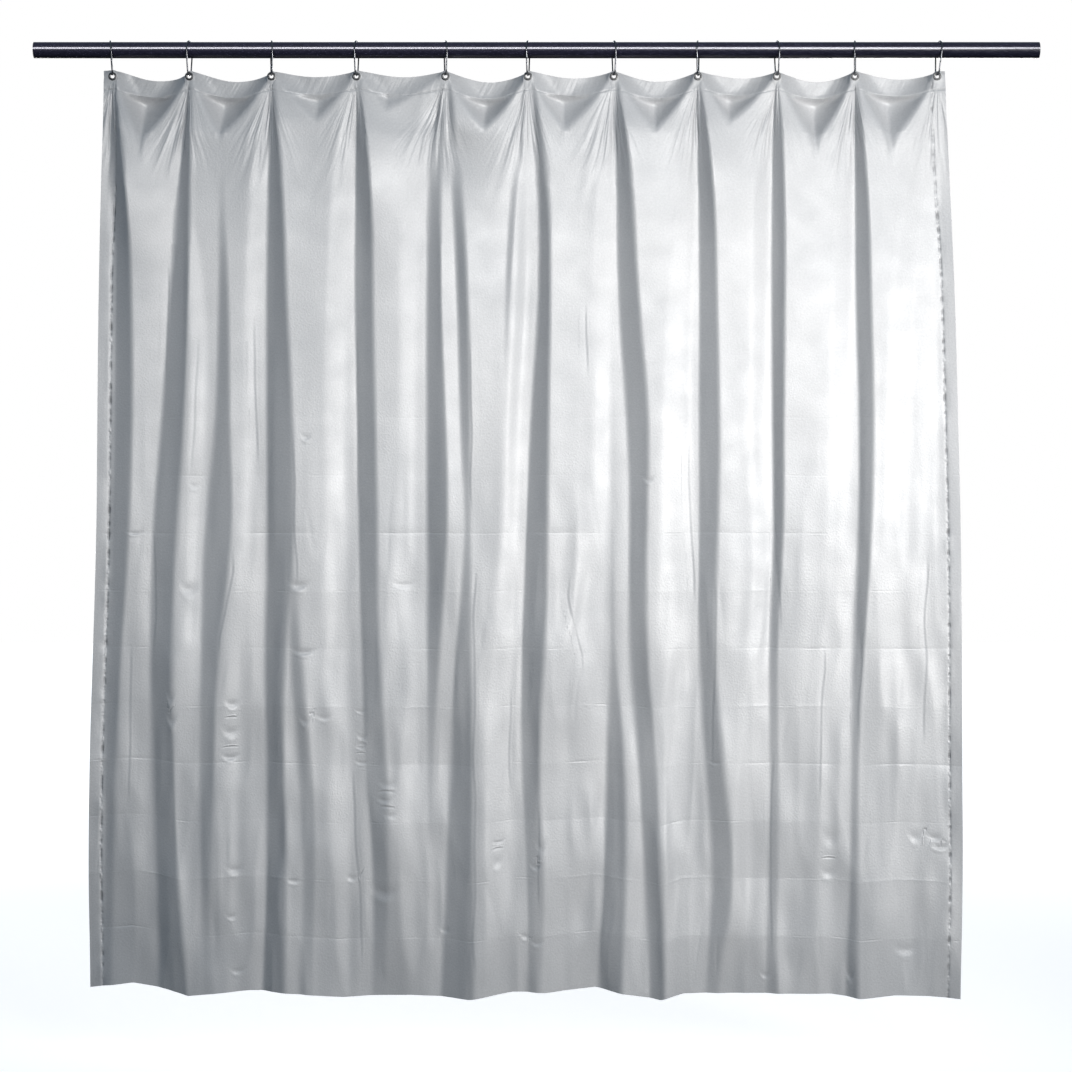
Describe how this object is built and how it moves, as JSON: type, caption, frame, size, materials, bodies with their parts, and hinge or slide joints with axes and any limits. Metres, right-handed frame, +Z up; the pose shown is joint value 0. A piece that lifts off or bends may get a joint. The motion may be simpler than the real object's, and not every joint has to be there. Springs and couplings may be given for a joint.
{
  "type": "shower curtain",
  "caption": "Silver-grey vinyl shower curtain with hemmed edges, hung by wire rings through metal eyelets from a plain round black rod, along which it draws.",
  "frame": {"origin": "middle of the rod, on its axis", "axes": "+X along the rod to the right as seen from the front, +Y away from the viewer, +Z up"},
  "size_m": [1.9878, 0.0762, 1.887],
  "materials": {
    "rod_black": "gloss",
    "ring_chrome": "polished",
    "eyelet_nickel": "satin",
    "vinyl": "satin"
  },
  "bodies": {
    "rod": {"rod": "rod_black"},
    "ring_11": {"ring_11": "ring_chrome"},
    "curtain": {"curtain_sheet": "vinyl", "top_hem": "vinyl", "left_hem": "vinyl", "right_hem": "vinyl", "eyelet_11": "eyelet_nickel", "washer_11": "eyelet_nickel"},
    "ring_01": {"ring_01": "ring_chrome"},
    "grommet_01": {"eyelet_01": "eyelet_nickel", "washer_01": "eyelet_nickel"},
    "ring_02": {"ring_02": "ring_chrome"},
    "grommet_02": {"eyelet_02": "eyelet_nickel", "washer_02": "eyelet_nickel"},
    "ring_03": {"ring_03": "ring_chrome"},
    "grommet_03": {"eyelet_03": "eyelet_nickel", "washer_03": "eyelet_nickel"},
    "ring_04": {"ring_04": "ring_chrome"},
    "grommet_04": {"eyelet_04": "eyelet_nickel", "washer_04": "eyelet_nickel"},
    "ring_05": {"ring_05": "ring_chrome"},
    "grommet_05": {"eyelet_05": "eyelet_nickel", "washer_05": "eyelet_nickel"},
    "ring_06": {"ring_06": "ring_chrome"},
    "grommet_06": {"eyelet_06": "eyelet_nickel", "washer_06": "eyelet_nickel"},
    "ring_07": {"ring_07": "ring_chrome"},
    "grommet_07": {"eyelet_07": "eyelet_nickel", "washer_07": "eyelet_nickel"},
    "ring_08": {"ring_08": "ring_chrome"},
    "grommet_08": {"eyelet_08": "eyelet_nickel", "washer_08": "eyelet_nickel"},
    "ring_09": {"ring_09": "ring_chrome"},
    "grommet_09": {"eyelet_09": "eyelet_nickel", "washer_09": "eyelet_nickel"},
    "ring_10": {"ring_10": "ring_chrome"},
    "grommet_10": {"eyelet_10": "eyelet_nickel", "washer_10": "eyelet_nickel"}
  },
  "joints": [
    {"name": "ring_swing", "type": "hinge", "parent": "rod", "child": "ring_11", "pos_m": [0, 0, 0], "axis": [1, 0, 0], "range_deg": [-60, 60]},
    {"name": "curtain_tilt", "type": "hinge", "parent": "ring_11", "child": "curtain", "pos_m": [0.79253, 0, -0.03782], "axis": [1, 0, 0], "range_deg": [-20, 20]},
    {"name": "curtain_draw", "type": "slide", "parent": "ring_11", "child": "ring_01", "axis": [1, 0, 0], "range_m": [0, 1.2234], "deforming": ["curtain_sheet", "top_hem", "left_hem", "right_hem"]},
    {"name": "grommet_01_slide", "type": "slide", "parent": "curtain", "child": "grommet_01", "axis": [1, 0, 0], "range_m": [0, 1.2234]},
    {"name": "ring_02_slide", "type": "slide", "parent": "ring_11", "child": "ring_02", "axis": [1, 0, 0], "range_m": [0, 1.10951]},
    {"name": "grommet_02_slide", "type": "slide", "parent": "curtain", "child": "grommet_02", "axis": [1, 0, 0], "range_m": [0, 1.10951]},
    {"name": "ring_03_slide", "type": "slide", "parent": "ring_11", "child": "ring_03", "axis": [1, 0, 0], "range_m": [0, 0.9876]},
    {"name": "grommet_03_slide", "type": "slide", "parent": "curtain", "child": "grommet_03", "axis": [1, 0, 0], "range_m": [0, 0.9876]},
    {"name": "ring_04_slide", "type": "slide", "parent": "ring_11", "child": "ring_04", "axis": [1, 0, 0], "range_m": [0, 0.86147]},
    {"name": "grommet_04_slide", "type": "slide", "parent": "curtain", "child": "grommet_04", "axis": [1, 0, 0], "range_m": [0, 0.86147]},
    {"name": "ring_05_slide", "type": "slide", "parent": "ring_11", "child": "ring_05", "axis": [1, 0, 0], "range_m": [0, 0.72943]},
    {"name": "grommet_05_slide", "type": "slide", "parent": "curtain", "child": "grommet_05", "axis": [1, 0, 0], "range_m": [0, 0.72943]},
    {"name": "ring_06_slide", "type": "slide", "parent": "ring_11", "child": "ring_06", "axis": [1, 0, 0], "range_m": [0, 0.60708]},
    {"name": "grommet_06_slide", "type": "slide", "parent": "curtain", "child": "grommet_06", "axis": [1, 0, 0], "range_m": [0, 0.60708]},
    {"name": "ring_07_slide", "type": "slide", "parent": "ring_11", "child": "ring_07", "axis": [1, 0, 0], "range_m": [0, 0.47953]},
    {"name": "grommet_07_slide", "type": "slide", "parent": "curtain", "child": "grommet_07", "axis": [1, 0, 0], "range_m": [0, 0.47953]},
    {"name": "ring_08_slide", "type": "slide", "parent": "ring_11", "child": "ring_08", "axis": [1, 0, 0], "range_m": [0, 0.35491]},
    {"name": "grommet_08_slide", "type": "slide", "parent": "curtain", "child": "grommet_08", "axis": [1, 0, 0], "range_m": [0, 0.35491]},
    {"name": "ring_09_slide", "type": "slide", "parent": "ring_11", "child": "ring_09", "axis": [1, 0, 0], "range_m": [0, 0.23766]},
    {"name": "grommet_09_slide", "type": "slide", "parent": "curtain", "child": "grommet_09", "axis": [1, 0, 0], "range_m": [0, 0.23766]},
    {"name": "ring_10_slide", "type": "slide", "parent": "ring_11", "child": "ring_10", "axis": [1, 0, 0], "range_m": [0, 0.12191]},
    {"name": "grommet_10_slide", "type": "slide", "parent": "curtain", "child": "grommet_10", "axis": [1, 0, 0], "range_m": [0, 0.12191]}
  ],
  "couplings": [
    {"joint": "grommet_01_slide", "follows": "curtain_draw", "ratio": 1},
    {"joint": "ring_02_slide", "follows": "curtain_draw", "ratio": 0.9069},
    {"joint": "grommet_02_slide", "follows": "curtain_draw", "ratio": 0.9069},
    {"joint": "ring_03_slide", "follows": "curtain_draw", "ratio": 0.80725},
    {"joint": "grommet_03_slide", "follows": "curtain_draw", "ratio": 0.80725},
    {"joint": "ring_04_slide", "follows": "curtain_draw", "ratio": 0.70416},
    {"joint": "grommet_04_slide", "follows": "curtain_draw", "ratio": 0.70416},
    {"joint": "ring_05_slide", "follows": "curtain_draw", "ratio": 0.59623},
    {"joint": "grommet_05_slide", "follows": "curtain_draw", "ratio": 0.59623},
    {"joint": "ring_06_slide", "follows": "curtain_draw", "ratio": 0.49622},
    {"joint": "grommet_06_slide", "follows": "curtain_draw", "ratio": 0.49622},
    {"joint": "ring_07_slide", "follows": "curtain_draw", "ratio": 0.39196},
    {"joint": "grommet_07_slide", "follows": "curtain_draw", "ratio": 0.39196},
    {"joint": "ring_08_slide", "follows": "curtain_draw", "ratio": 0.29011},
    {"joint": "grommet_08_slide", "follows": "curtain_draw", "ratio": 0.29011},
    {"joint": "ring_09_slide", "follows": "curtain_draw", "ratio": 0.19426},
    {"joint": "grommet_09_slide", "follows": "curtain_draw", "ratio": 0.19426},
    {"joint": "ring_10_slide", "follows": "curtain_draw", "ratio": 0.09965},
    {"joint": "grommet_10_slide", "follows": "curtain_draw", "ratio": 0.09965}
  ]
}
